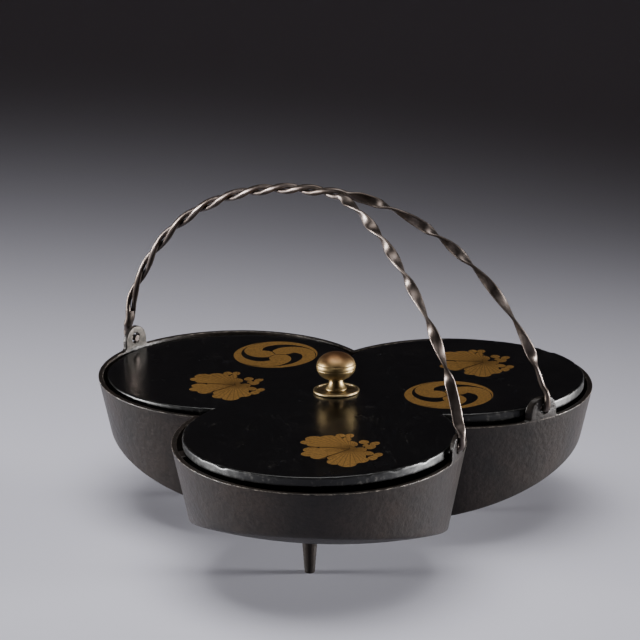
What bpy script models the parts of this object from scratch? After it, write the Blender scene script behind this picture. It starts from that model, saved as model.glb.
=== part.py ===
"""Three-lobed cast-iron covered vessel with a lacquered lid, a brass knob and a forged twisted handle.

Seen from above the vessel is three overlapping round lobes. The lobe with the single ear points to -X,
the other two stand at 60 degrees either side of +X. Metres, +Z up, feet on z = 0.
"""
import math

import bmesh
import bpy
import numpy as np
from mathutils import Vector

# Vessel, cast iron
LOBE_RADIUS = 0.084
LOBE_OFFSET = 0.0761
BOWL_DEPTH = 0.0692
FOOT_CLEARANCE = 0.0113
WALL = 0.0030
FLOOR = 0.0035
WALL_TAPER = 0.21
DOME_RADIUS = 0.3070
FOOT_TOP_RADIUS = 0.0047
FOOT_TIP_RADIUS = 0.0030
FOOT_TURN = -4.4
LUG_WIDTH = 0.010
LUG_HEIGHT = 0.005
LUG_REACH = 0.0085

# Ears on the rim
EAR_WIDTH = 0.019
EAR_RISE = 0.0135
EAR_HOLE_RISE = 0.0060
EAR_HOLE_RADIUS = 0.0031
EAR_SET_IN = 0.0004
PAIR_EAR_ANGLE = 16.0

# Lid, lacquered wood
LID_GAP = 0.0066
LID_SPREAD = 0.0015
LID_LOBE_RADIUS = LOBE_RADIUS - LID_GAP
LID_LOBE_OFFSET = LOBE_OFFSET + LID_SPREAD
LID_THICKNESS = 0.0057
LID_TOP_ABOVE_RIM = 0.0035
LID_PITCH = 1.75
LID_ROLL = -0.80
LID_EDGE = 0.0008

# Knob and its rose, brass
KNOB_RADIUS = 0.01165
KNOB_HALF_HEIGHT = 0.0086
KNOB_NECK_RADIUS = 0.0041
KNOB_FOOT_RADIUS = 0.0063
KNOB_CENTRE_HEIGHT = 0.0143
KNOB_LIP = 0.0008
ROSE_RADIUS = 0.0136
ROSE_THICKNESS = 0.0013
ROSE_DISH = 0.0006

# Handle, forged iron
ARCH_RISE = 0.1243
ARCH_POWER = 2.1
LEG_POWER = 1.7
LEG_BOW = 0.10
STRAND_WIDTH = 0.0038
STRAND_THICKNESS = 0.0031
STRAND_GAP = 0.0004
ROPE_HALF_TURN_AT_CROWN = 0.0170
ROPE_HALF_TURN_AT_EAR = 0.0290
SPLIT_BEYOND_CROWN = 0.0054
BAR_WIDTH = 0.0057
BAR_THICKNESS = 0.0019
PARTING_LENGTH = 0.060
FLATTENING_LENGTH = 0.022
FRONT_BAR_HALF_TURN = 0.0290
REAR_BAR_HALF_TURN = 0.0330
WELD_RISE = 0.0195
ROD_RADIUS = 0.0019
SHANK_LENGTH = 0.014
SHANK_EASE = 0.018
HOOK_BULGE = 0.0026
HOOK_TAIL = 0.0016

# Fits
CONTACT_GAP = 0.0003
HOOK_CLEARANCE = 0.0004

LOBE_ANGLES = (180.0, 60.0, -60.0)
RIM_HEIGHT = BOWL_DEPTH + FOOT_CLEARANCE
LOBE_SIDES = 64
PROFILE_STEPS = 48
SEAM_TURN = 1.7
CORE_SHARE = 0.52
STATION_STEP = 0.0038


def polar(radius, degrees, height=0.0):
    """Point at a radius and an angle from +X."""
    angle = math.radians(degrees)
    return Vector((radius * math.cos(angle), radius * math.sin(angle), height))


def lobe_centre(degrees, offset=LOBE_OFFSET):
    """Centre of the lobe that points in the given direction."""
    return polar(offset, degrees)


def dome_height(radius, inner=False):
    """Height above the table of the rounded bottom, at a distance from the vessel's axis."""
    shell = DOME_RADIUS - (FLOOR if inner else 0.0)
    centre = FOOT_CLEARANCE + DOME_RADIUS
    return centre - math.sqrt(shell ** 2 - radius ** 2)


def make_material(name, colour, roughness, metallic):
    """Principled material with one colour."""
    material = bpy.data.materials.new(name)
    material.use_nodes = True
    shader = material.node_tree.nodes["Principled BSDF"]
    shader.inputs["Base Color"].default_value = (*colour, 1.0)
    shader.inputs["Roughness"].default_value = roughness
    shader.inputs["Metallic"].default_value = metallic
    material.diffuse_color = (*colour, 1.0)
    return material


def add_object(name, mesh, collection, material=None, smooth=True):
    """Puts a mesh in a collection as one object under the vessel's axis."""
    obj = bpy.data.objects.new(name, mesh)
    collection.objects.link(obj)
    obj.parent = axis
    if material:
        mesh.materials.append(material)
    if smooth and mesh.polygons:
        mesh.shade_smooth()
        mesh.set_sharp_from_angle(angle=math.radians(35))
    return obj


def add_cutter(name, mesh):
    """A helper shape for a Boolean, hidden from renders."""
    obj = add_object(name, mesh, cutters, smooth=False)
    obj.hide_render = True
    obj.display_type = "WIRE"
    return obj


def boolean(target, operation, tool):
    """Adds an exact Boolean of the tool to the target."""
    modifier = target.modifiers.new(f"{operation.lower()}_{tool.name}", "BOOLEAN")
    modifier.operation = operation
    modifier.solver = "EXACT"
    modifier.object = tool


def cone_mesh(name, low_radius, high_radius, low, high, sides=LOBE_SIDES, centre=(0.0, 0.0)):
    """Closed upright cone frustum between two heights."""
    bm = bmesh.new()
    bmesh.ops.create_cone(bm, cap_ends=True, segments=sides, radius1=low_radius, radius2=high_radius,
                          depth=high - low)
    bmesh.ops.translate(bm, verts=bm.verts, vec=(centre[0], centre[1], (low + high) / 2))
    mesh = bpy.data.meshes.new(name)
    bm.to_mesh(mesh)
    bm.free()
    return mesh


def box_mesh(name, size, centre):
    """Closed box with its size and centre."""
    bm = bmesh.new()
    bmesh.ops.create_cube(bm, size=1.0)
    bmesh.ops.scale(bm, verts=bm.verts, vec=size)
    bmesh.ops.translate(bm, verts=bm.verts, vec=centre)
    mesh = bpy.data.meshes.new(name)
    bm.to_mesh(mesh)
    bm.free()
    return mesh


def profile_mesh(name, points):
    """Open profile of (radius, height) pairs in the XZ plane, for a Screw modifier."""
    mesh = bpy.data.meshes.new(name)
    edges = [(i, i + 1) for i in range(len(points) - 1)]
    mesh.from_pydata([(r, 0.0, z) for r, z in points], edges, [])
    return mesh


def add_screw(obj, steps=PROFILE_STEPS):
    """Turns a profile about Z."""
    modifier = obj.modifiers.new("turned", "SCREW")
    modifier.axis = "Z"
    modifier.steps = steps
    modifier.render_steps = steps
    modifier.use_merge_vertices = True
    modifier.merge_threshold = 0.00002
    modifier.use_smooth_shade = True


def dome_profile(inner):
    """Turned solid that bounds the bowl: spherical below, flat at or above the rim."""
    top = RIM_HEIGHT + (0.012 if inner else 0.0)
    reach = LOBE_OFFSET + LOBE_RADIUS + 0.015
    rings = 8
    curve = [(reach * i / rings, dome_height(reach * i / rings, inner)) for i in range(rings, -1, -1)]
    return [(0.0, top), (reach, top)] + curve


def lobe_solid(prefix, inset, top, low):
    """Three tapered lobes with their walls set in by the inset, and a core that fills the middle."""
    pieces = []
    for index, degrees in enumerate(LOBE_ANGLES):
        centre = lobe_centre(degrees)
        high_radius = LOBE_RADIUS - inset + WALL_TAPER * (top - RIM_HEIGHT)
        low_radius = LOBE_RADIUS - inset - WALL_TAPER * (RIM_HEIGHT - low)
        pieces.append(cone_mesh(f"{prefix}_lobe_{index}", low_radius, high_radius, low, top,
                                centre=(centre.x, centre.y)))
    core = LOBE_OFFSET * CORE_SHARE - inset
    pieces.append(cone_mesh(f"{prefix}_core", core, core, low + 0.0005, top - 0.0005, 24))
    return pieces


def ear_place(lobe, degrees):
    """Point under an ear on its lobe's circle and the ear's outward direction."""
    outward = polar(1.0, degrees)
    return lobe_centre(lobe) + outward * LOBE_RADIUS, outward


def ear_mesh(name, lobe, degrees):
    """Round-topped tab on the rim, curved with the wall: an arch prism cut to the wall's thickness."""
    centre = lobe_centre(lobe)
    half = EAR_WIDTH / 2
    low = RIM_HEIGHT - 2 * EAR_SET_IN
    spring = RIM_HEIGHT + EAR_RISE - half
    outer = LOBE_RADIUS - EAR_SET_IN
    inner = LOBE_RADIUS - WALL + EAR_SET_IN
    outline = [(-half, low)]
    outline += [(-half * math.cos(math.pi * i / 10), spring + half * math.sin(math.pi * i / 10))
                for i in range(11)]
    outline += [(half, low)]
    bm = bmesh.new()
    faces = []
    for radius in (inner, outer):
        faces.append([bm.verts.new(polar(radius, degrees + math.degrees(side / LOBE_RADIUS), height)
                                   + Vector((centre.x, centre.y, 0.0))) for side, height in outline])
    bm.faces.new(reversed(faces[0]))
    bm.faces.new(faces[1])
    count = len(outline)
    for i in range(count):
        j = (i + 1) % count
        bm.faces.new((faces[0][i], faces[0][j], faces[1][j], faces[1][i]))
    bmesh.ops.recalc_face_normals(bm, faces=bm.faces)
    bmesh.ops.triangulate(bm, faces=[f for f in bm.faces if len(f.verts) > 4])
    mesh = bpy.data.meshes.new(name)
    bm.to_mesh(mesh)
    bm.free()
    return mesh


def rod_cutter(name, start, end, radius, sides=20):
    """Closed cylinder between two points."""
    bm = bmesh.new()
    bmesh.ops.create_cone(bm, cap_ends=True, segments=sides, radius1=radius, radius2=radius,
                          depth=(end - start).length)
    mesh = bpy.data.meshes.new(name)
    bm.to_mesh(mesh)
    bm.free()
    obj = add_cutter(name, mesh)
    obj.location = (start + end) / 2
    obj.rotation_euler = (end - start).to_track_quat("Z", "Y").to_euler()
    return obj


def lid_plane(x, y):
    """Height of the lid's underside over a point of the vessel."""
    slope = math.tan(math.radians(LID_PITCH)) * x + math.tan(math.radians(LID_ROLL)) * y
    return RIM_HEIGHT + LID_TOP_ABOVE_RIM - LID_THICKNESS + slope


def trefoil_outline(radius, offset, steps=20):
    """Outline of three overlapping circles, each lobe from notch to notch, counter-clockwise."""
    swing = 180.0 - math.degrees(math.acos((offset ** 2 + radius ** 2 - notch_distance(radius, offset) ** 2)
                                           / (2 * offset * radius)))
    points = []
    for degrees in sorted(LOBE_ANGLES):
        centre = lobe_centre(degrees, offset)
        for i in range(steps):
            turn = -swing + 2 * swing * i / steps
            points.append(centre + polar(radius, degrees + turn))
    return points


def notch_distance(radius, offset):
    """Distance from the axis to the corner where two lobes meet."""
    return offset * 0.5 + math.sqrt(radius ** 2 - (offset * math.sin(math.radians(60.0))) ** 2)


def quarter(reach, rise, power, count=240):
    """Quarter of a superellipse from the crown (0, rise) to the foot (reach, 0)."""
    angle = np.linspace(math.pi / 2, 0.0, count)
    return np.column_stack([reach * np.cos(angle) ** (2 / power), rise * np.sin(angle) ** (2 / power)])


def resample(points, step):
    """Same path with a point every step along it, both ends kept."""
    length = np.concatenate([[0.0], np.cumsum(np.linalg.norm(np.diff(points, axis=0), axis=1))])
    count = max(2, round(length[-1] / step) + 1)
    at = np.linspace(0.0, length[-1], count)
    return np.column_stack([np.interp(at, length, points[:, k]) for k in range(3)])


def relax(points, window, step=0.0005):
    """Rounds the corners of a path with a running average of the given window."""
    path = resample(points, step)
    half = int(window / step / 2)
    kernel = np.hanning(2 * half + 3)[1:-1]
    kernel /= kernel.sum()
    before = path[0] - (path[half:0:-1] - path[0])
    after = path[-1] - (path[-2:-half - 2:-1] - path[-1])
    padded = np.vstack([before, path, after])
    return np.column_stack([np.convolve(padded[:, k], kernel, "valid") for k in range(3)])


def section_axes(path):
    """Tangent, outward and side directions along a path; side stays near -Y."""
    tangent = np.gradient(path, axis=0)
    tangent /= np.linalg.norm(tangent, axis=1)[:, None]
    side = np.array([0.0, -1.0, 0.0]) - tangent * (-tangent[:, 1])[:, None]
    side /= np.linalg.norm(side, axis=1)[:, None]
    return tangent, np.cross(side, tangent), side


def loft(name, path, turn, width, thickness):
    """Bar with a chamfered section that turns about its path, closed at both ends."""
    _, outward, side = section_axes(path)
    bm = bmesh.new()
    rings = []
    for k, centre in enumerate(path):
        wide = math.cos(turn[k]) * outward[k] + math.sin(turn[k]) * side[k]
        thin = -math.sin(turn[k]) * outward[k] + math.cos(turn[k]) * side[k]
        a = width[k] / 2
        b = thickness[k] / 2
        c = 0.586 * min(a, b)
        corners = ((a, b - c), (a - c, b), (c - a, b), (-a, b - c), (-a, c - b), (c - a, -b), (a - c, -b), (a, c - b))
        rings.append([bm.verts.new(centre + u * wide + v * thin) for u, v in corners])
    for low, high in zip(rings, rings[1:]):
        for i in range(8):
            j = (i + 1) % 8
            bm.faces.new((low[i], low[j], high[j], high[i]))
    bm.faces.new(reversed(rings[0]))
    bm.faces.new(rings[-1])
    bmesh.ops.recalc_face_normals(bm, faces=bm.faces)
    mesh = bpy.data.meshes.new(name)
    bm.to_mesh(mesh)
    bm.free()
    return mesh


def smooth_step(value, low, high):
    """Rises from 0 to 1 between two values, level at both ends."""
    t = np.clip((value - low) / (high - low), 0.0, 1.0)
    return t * t * (3 - 2 * t)


def rod_standoff():
    """Distance from a lobe's centre to a rod that stands just outside an ear."""
    return LOBE_RADIUS - EAR_SET_IN + HOOK_CLEARANCE + ROD_RADIUS


def hook_points(lobe, degrees, bulge):
    """Rod's end at one ear, from above it round the bend and inwards through the hole."""
    centre = np.array(lobe_centre(lobe))
    outward = np.array(polar(1.0, degrees))
    hole = RIM_HEIGHT + EAR_HOLE_RISE
    stand = rod_standoff()
    inside = LOBE_RADIUS - WALL + EAR_SET_IN - HOOK_TAIL
    up = np.array([0.0, 0.0, 1.0])
    return np.array([centre + outward * (stand + bulge * 0.2) + up * (hole + 0.010),
                     centre + outward * (stand + bulge) + up * (hole + 0.0035),
                     centre + outward * (stand + bulge) + up * hole,
                     centre + outward * (LOBE_RADIUS + ROD_RADIUS) + up * hole,
                     centre + outward * inside + up * hole])


def rope_path():
    """Centre line of the roped half in the XZ plane, from the crown down to the single ear."""
    reach = LOBE_OFFSET + rod_standoff()
    curve = quarter(reach, ARCH_RISE, ARCH_POWER)
    return np.column_stack([-curve[:, 0], np.zeros(len(curve)), RIM_HEIGHT + curve[:, 1]])


def leg_path(sign):
    """Centre line of one leg from the crown to its ear; it parts from its twin as it goes out."""
    hook = hook_points(60.0 * sign, -PAIR_EAR_ANGLE * sign, 0.0)
    reach, side = hook[0][0], abs(hook[0][1])
    curve = quarter(reach, ARCH_RISE, LEG_POWER)
    share = curve[:, 0] / reach
    soft = 0.05
    spread = share ** 2 / (share + soft) * (1 + soft) + LEG_BOW * np.sin(math.pi * share)
    points = np.column_stack([curve[:, 0], sign * side * spread, RIM_HEIGHT + curve[:, 1]])
    points = points[points[:, 2] > RIM_HEIGHT + EAR_HOLE_RISE + 0.014]
    return np.vstack([points, hook])


def strand(name, sign):
    """One bar of the handle, from the weld at the single ear over the crown to its own ear."""
    rope = rope_path()
    rope = rope[rope[:, 2] > RIM_HEIGHT + WELD_RISE][::-1]
    leg = leg_path(sign)
    path = relax(np.vstack([rope, leg[1:]]), 0.008)
    length = np.concatenate([[0.0], np.cumsum(np.linalg.norm(np.diff(path, axis=0), axis=1))])
    split = length[np.argmin(np.abs(path[:, 0] - SPLIT_BEYOND_CROWN) + (path[:, 2] < RIM_HEIGHT + 0.8 * ARCH_RISE))]
    rate_crown = math.pi / ROPE_HALF_TURN_AT_CROWN
    rate_ear = math.pi / ROPE_HALF_TURN_AT_EAR
    back = np.maximum(split - length, 0.0)
    ahead = np.maximum(length - split, 0.0)
    theta = -math.pi / 2 + rate_crown * back - (rate_crown - rate_ear) / (2 * split) * back ** 2
    theta += 0.0 if sign > 0 else math.pi
    bar_half_turn = REAR_BAR_HALF_TURN if sign > 0 else FRONT_BAR_HALF_TURN
    turn = theta + math.pi / 2 - math.pi / bar_half_turn * ahead
    _, outward, side = section_axes(path)
    offset = (STRAND_THICKNESS + STRAND_GAP) / 2 * (1.0 - smooth_step(ahead, 0.0, PARTING_LENGTH))
    path = path + (offset * np.cos(theta))[:, None] * outward + (offset * np.sin(theta))[:, None] * side
    left = length[-1] - length
    flat = smooth_step(ahead, 0.0, FLATTENING_LENGTH) * smooth_step(left, SHANK_LENGTH, SHANK_LENGTH + SHANK_EASE)
    width = STRAND_WIDTH + (BAR_WIDTH - STRAND_WIDTH) * flat
    thickness = STRAND_THICKNESS + (BAR_THICKNESS - STRAND_THICKNESS) * flat
    tip = smooth_step(left, 0.008, 0.016)
    width = 2 * ROD_RADIUS + (width - 2 * ROD_RADIUS) * tip
    thickness = 2 * ROD_RADIUS + (thickness - 2 * ROD_RADIUS) * tip
    stations = np.concatenate([np.arange(0.0, length[-1] - 0.016, STATION_STEP),
                               np.linspace(length[-1] - 0.015, length[-1], 9)])
    pick = [int(np.argmin(np.abs(length - s))) for s in stations]
    return loft(name, path[pick], turn[pick], width[pick], thickness[pick])


def weld_rod(name):
    """Joined end of the two bars: from inside the single ear's hole, round the hook and up to the rope."""
    hook = hook_points(180.0, 180.0, HOOK_BULGE)
    rope = rope_path()
    upper = rope[(rope[:, 2] > RIM_HEIGHT + EAR_HOLE_RISE + 0.012) & (rope[:, 2] < RIM_HEIGHT + WELD_RISE + 0.004)]
    path = relax(np.vstack([upper, hook]), 0.005)
    path = resample(path, 0.0016)
    height = path[:, 2] - RIM_HEIGHT
    swell = smooth_step(height, EAR_HOLE_RISE + 0.004, WELD_RISE - 0.005)
    width = 2 * ROD_RADIUS + (2 * STRAND_THICKNESS + STRAND_GAP + 0.0006 - 2 * ROD_RADIUS) * swell
    thickness = 2 * ROD_RADIUS + (STRAND_WIDTH + 0.0006 - 2 * ROD_RADIUS) * swell
    turn = np.full(len(path), weld_turn())
    return loft(name, path, turn, width, thickness)


def weld_turn():
    """Direction across the two bars where the rope begins, so that the weld's section holds both."""
    rope = rope_path()
    rope = rope[rope[:, 2] > RIM_HEIGHT + WELD_RISE]
    length = float(np.linalg.norm(np.diff(rope, axis=0), axis=1).sum()) + SPLIT_BEYOND_CROWN
    rate_crown = math.pi / ROPE_HALF_TURN_AT_CROWN
    rate_ear = math.pi / ROPE_HALF_TURN_AT_EAR
    return -math.pi / 2 + rate_crown * length - (rate_crown - rate_ear) / 2 * length


for old in list(bpy.data.objects):
    bpy.data.objects.remove(old, do_unlink=True)

iron = make_material("cast_iron", (0.045, 0.041, 0.038), 0.62, 0.55)
forged = make_material("forged_iron", (0.075, 0.066, 0.060), 0.42, 0.85)
lacquer = make_material("black_lacquer", (0.008, 0.008, 0.008), 0.22, 0.0)
brass = make_material("brass", (0.42, 0.27, 0.10), 0.30, 1.0)

parts = bpy.data.collections.new("covered_vessel")
cutters = bpy.data.collections.new("cutters")
for group in (parts, cutters):
    bpy.context.scene.collection.children.link(group)

axis = bpy.data.objects.new("vessel_axis", None)
parts.objects.link(axis)

# Vessel: three tapered lobes over a rounded bottom, hollowed to the wall's thickness
shells = lobe_solid("outer", 0.0, RIM_HEIGHT + 0.004, FOOT_CLEARANCE - 0.002)
vessel = add_object("vessel", shells[0], parts, iron)
for mesh in shells[1:]:
    boolean(vessel, "UNION", add_cutter(mesh.name, mesh))
dome = add_cutter("outer_dome", profile_mesh("outer_dome", dome_profile(False)))
add_screw(dome)
dome.rotation_euler = (0.0, 0.0, math.radians(SEAM_TURN))
boolean(vessel, "INTERSECT", dome)
hollows = lobe_solid("inner", WALL, RIM_HEIGHT + 0.006, FOOT_CLEARANCE - 0.001)
hollow = add_cutter("hollow", hollows[0])
for mesh in hollows[1:]:
    boolean(hollow, "UNION", add_cutter(mesh.name, mesh))
inner_dome = add_cutter("inner_dome", profile_mesh("inner_dome", dome_profile(True)))
add_screw(inner_dome)
inner_dome.rotation_euler = (0.0, 0.0, math.radians(SEAM_TURN))
boolean(hollow, "INTERSECT", inner_dome)
boolean(vessel, "DIFFERENCE", hollow)

# Ears: one at the tip of the single lobe, one on each of the other two lobes
for index, (lobe, degrees) in enumerate(((180.0, 180.0), (60.0, -PAIR_EAR_ANGLE), (-60.0, PAIR_EAR_ANGLE))):
    boolean(vessel, "UNION", add_cutter(f"ear_{index}", ear_mesh(f"ear_{index}", lobe, degrees)))
    foot_point, outward = ear_place(lobe, degrees)
    middle = Vector((foot_point.x, foot_point.y, RIM_HEIGHT + EAR_HOLE_RISE))
    boolean(vessel, "DIFFERENCE", rod_cutter(f"ear_hole_{index}", middle - outward * 2 * WALL,
                                             middle + outward * 2 * WALL, EAR_HOLE_RADIUS))

# Feet: three tapered pegs under the lobes
for index, degrees in enumerate(LOBE_ANGLES):
    spot = lobe_centre(degrees + FOOT_TURN)
    top = dome_height(LOBE_OFFSET + FOOT_TOP_RADIUS) + FLOOR * 0.3
    peg = cone_mesh(f"foot_{index}", FOOT_TIP_RADIUS, FOOT_TOP_RADIUS, 0.0, top, 20, (spot.x, spot.y))
    boolean(vessel, "UNION", add_cutter(f"foot_{index}", peg))

# Rest lugs inside the wall, just under the lid
for index, (lobe, degrees) in enumerate(((180.0, 180.0), (60.0, 60.0), (-60.0, -130.0))):
    outward = polar(1.0, degrees)
    wall_point = lobe_centre(lobe) + outward * (LOBE_RADIUS - WALL / 2)
    tip = lobe_centre(lobe) + outward * (LOBE_RADIUS - WALL - LUG_REACH)
    top = min(lid_plane(tip.x, tip.y), lid_plane(wall_point.x, wall_point.y)) - CONTACT_GAP
    wall_point -= outward * WALL_TAPER * (RIM_HEIGHT - top + LUG_HEIGHT)
    middle = (wall_point + tip) / 2
    lug = add_cutter(f"lug_{index}", box_mesh(f"lug_{index}", ((wall_point - tip).length, LUG_WIDTH, LUG_HEIGHT),
                                              (0.0, 0.0, -LUG_HEIGHT / 2)))
    lug.location = (middle.x, middle.y, top)
    lug.rotation_euler = (0.0, 0.0, math.radians(degrees))
    boolean(vessel, "UNION", lug)

# Lid: a trefoil board with its edges eased, lying a little askew
outline = trefoil_outline(LID_LOBE_RADIUS - LID_EDGE, LID_LOBE_OFFSET)
curve = bpy.data.curves.new("lid_outline", "CURVE")
curve.dimensions = "2D"
curve.fill_mode = "BOTH"
curve.extrude = LID_THICKNESS / 2 - LID_EDGE
curve.bevel_depth = LID_EDGE
curve.bevel_resolution = 0
spline = curve.splines.new("POLY")
spline.points.add(len(outline) - 1)
for point, place in zip(spline.points, outline):
    point.co = (place.x, place.y, 0.0, 1.0)
spline.use_cyclic_u = True
guide = bpy.data.objects.new("lid_guide", curve)
parts.objects.link(guide)
bpy.context.view_layer.update()
board = bpy.data.meshes.new_from_object(guide.evaluated_get(bpy.context.evaluated_depsgraph_get()))
bpy.data.objects.remove(guide, do_unlink=True)
bm = bmesh.new()
bm.from_mesh(board)
bmesh.ops.remove_doubles(bm, verts=bm.verts, dist=0.00001)
bmesh.ops.recalc_face_normals(bm, faces=bm.faces)
bm.to_mesh(board)
bm.free()
board.name = "lid"
board.materials.clear()
lid = add_object("lid", board, parts, lacquer)
lid.location = (0.0, 0.0, RIM_HEIGHT + LID_TOP_ABOVE_RIM - LID_THICKNESS / 2)
lid.rotation_euler = (math.radians(LID_ROLL), -math.radians(LID_PITCH), 0.0)

# Rose: thin dished disc on the lid
base = LID_THICKNESS / 2 + CONTACT_GAP
rose_top = base + ROSE_THICKNESS
rose = add_object("knob_rose", profile_mesh("knob_rose", [
    (0.0, rose_top - ROSE_DISH),
    (ROSE_RADIUS * 0.86, rose_top - ROSE_DISH),
    (ROSE_RADIUS * 0.92, rose_top),
    (ROSE_RADIUS * 0.97, rose_top),
    (ROSE_RADIUS, rose_top - ROSE_DISH / 2),
    (ROSE_RADIUS, base),
    (0.0, base)]), parts, brass)
rose.parent = lid
add_screw(rose, 40)

# Knob: a flattened ball on a flared neck, down its outer side to the foot that stands on the rose
foot = rose_top - ROSE_DISH + CONTACT_GAP
middle = foot + KNOB_CENTRE_HEIGHT
ball_end = math.pi - math.asin(KNOB_NECK_RADIUS / KNOB_RADIUS)
ball = [(KNOB_RADIUS * math.sin(ball_end * i / 12), middle + KNOB_HALF_HEIGHT * math.cos(ball_end * i / 12))
        for i in range(13)]
neck_top = ball[-1][1]
flare = [(KNOB_NECK_RADIUS + (KNOB_FOOT_RADIUS - KNOB_NECK_RADIUS) * (t / 4) ** 2,
          neck_top + (foot + KNOB_LIP - neck_top) * t / 4) for t in range(1, 5)]
knob = add_object("knob", profile_mesh("knob", ball + flare + [(KNOB_FOOT_RADIUS, foot), (0.0, foot)]), parts, brass)
knob.parent = lid
add_screw(knob, 36)

# Handle: two bars roped together on one side, parting over the crown into two twisted legs
handle = add_object("handle", strand("handle", 1), parts, forged)
front = add_cutter("front_bar", strand("front_bar", -1))
weld = add_cutter("weld", weld_rod("weld"))
boolean(handle, "UNION", weld)
boolean(handle, "UNION", front)

# The frame's origin is under the middle of the whole outline
reach_out = max(v.co.x for v in handle.data.vertices)
reach_back = min(v.co.x for v in weld.data.vertices)
axis.location = (-(reach_out + reach_back) / 2, 0.0, 0.0)
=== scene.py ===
"""A cast-iron covered vessel of three lobes, its lacquered lid, brass knob and twisted handle.

The pieces come in the order in which the object is put together. Sizes are in millimetres
and become metres as each mesh is made; the floor, the lamps and the camera come last.
"""

import math

import bmesh
import bpy
import numpy as np
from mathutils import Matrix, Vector


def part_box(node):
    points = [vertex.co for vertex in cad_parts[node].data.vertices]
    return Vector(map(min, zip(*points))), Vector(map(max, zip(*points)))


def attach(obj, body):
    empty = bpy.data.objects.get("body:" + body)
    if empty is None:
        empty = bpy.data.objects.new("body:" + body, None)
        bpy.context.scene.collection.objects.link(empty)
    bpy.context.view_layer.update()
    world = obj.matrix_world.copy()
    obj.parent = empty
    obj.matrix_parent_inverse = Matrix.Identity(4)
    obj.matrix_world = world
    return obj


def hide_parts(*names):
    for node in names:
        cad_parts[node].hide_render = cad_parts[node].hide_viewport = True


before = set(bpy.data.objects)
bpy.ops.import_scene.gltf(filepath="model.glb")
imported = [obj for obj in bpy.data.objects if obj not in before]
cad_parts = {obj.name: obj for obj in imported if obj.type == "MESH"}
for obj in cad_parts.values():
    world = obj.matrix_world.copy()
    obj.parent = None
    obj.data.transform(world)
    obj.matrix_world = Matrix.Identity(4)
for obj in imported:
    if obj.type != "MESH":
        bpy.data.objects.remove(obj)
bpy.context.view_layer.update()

# Vessel. One casting of grey iron: three overlapping round lobes with tapered walls over a
# shallow rounded bottom, three peg feet, and three round-topped ears that rise from the rim.
# Poured in a sand mould, then rubbed down and blackened, so it is finely pitted and satin.
LOBE_RADIUS = 84.0
LOBE_OFFSET = 76.1
RIM = 80.5
WALL = 3.0
FLOOR = 3.5
WALL_TAPER = 0.21
DOME_RADIUS = 307.0
FOOT_CLEARANCE = 11.3
CREASE_EASE = 1.8
INNER_CREASE_EASE = 4.0
RIM_EASE = 0.5
EAR_WIDTH = 19.0
EAR_RISE = 13.5
EAR_HOLLOW = 1.8
EAR_REACH = 17.0
PAIR_EAR_ANGLE = 16.0
HOLE_HEIGHT = RIM + 6.0
HOLE_RADIUS = 3.1
HOLE_STRAIGHT = 1.1
DRILL_REACH = 4.0
COLUMN_STEP = 1.7
LEAST_STEP = 0.8
EAR_COLUMNS = 60
EDGE_BLEND = 14.0
FOOT_TOP_RADIUS = 4.7
FOOT_TIP_RADIUS = 3.0
FOOT_TIP_EDGE = 0.5
FOOT_SINK = 0.3 * FLOOR
FOOT_RINGS = 9
FOOT_RING_HEIGHT = 0.07
FOOT_TURN = -4.4
LUG_WIDTH = 10.0
LUG_HEIGHT = 5.0
LUG_REACH = 8.5
LUG_GAP = 0.3
LUG_PLACES = ((180.0, 180.0), (60.0, 60.0), (-60.0, -130.0))
LID_THICKNESS = 5.7
LID_TOP_ABOVE_RIM = 3.5
LID_PITCH = 1.75
LID_ROLL = -0.80
PRESS_PLACE = (118.8, -42.7)
PRESS_DIRECTION = (-0.93, 0.36)
PRESS_DEPTH = 2.4
PRESS_SPREAD = 42.0
PRESS_HEIGHTS = (25.0, 150.0)
PRESS_FADE = 50.0
LOBE_DIRECTIONS = (60.0, 180.0, 300.0)
EAR_PLACES = (-60.0 - PAIR_EAR_ANGLE, 0.0, 60.0 + PAIR_EAR_ANGLE)
AXIS_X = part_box("vessel")[0].x * 1000 + LOBE_OFFSET + LOBE_RADIUS


def linear(code):
    """Colour of a web hex code as linear light: each channel c becomes ((c + 0.055) / 1.055) ** 2.4."""
    channels = [int(code[i:i + 2], 16) / 255 for i in (1, 3, 5)]
    return tuple(c / 12.92 if c <= 0.04045 else ((c + 0.055) / 1.055) ** 2.4 for c in channels) + (1.0,)


def add_node(tree, kind, settings=None, inputs=None, stops=()):
    """Adds a node, sets its own settings, of which a lone word is the operation, fills its sockets with
    values or with other nodes' outputs, and gives a colour ramp its stops of (position, hex code)."""
    node = tree.nodes.new("ShaderNode" + kind)
    if isinstance(settings, str):
        settings = {"operation": settings}
    for name, value in (settings or {}).items():
        setattr(node, name, value)
    for name, value in (inputs or {}).items():
        if isinstance(value, bpy.types.Node):
            value = value.outputs[0]
        if isinstance(value, bpy.types.NodeSocket):
            tree.links.new(value, node.inputs[name])
        else:
            node.inputs[name].default_value = value
    for index, (position, code) in enumerate(stops):
        node.color_ramp.elements[index].position = position
        node.color_ramp.elements[index].color = linear(code)
    return node


def new_material(name):
    """Empty node material; returns it and its node tree."""
    material = bpy.data.materials.new(name)
    material.use_nodes = True
    material.node_tree.nodes.clear()
    return material, material.node_tree


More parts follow.
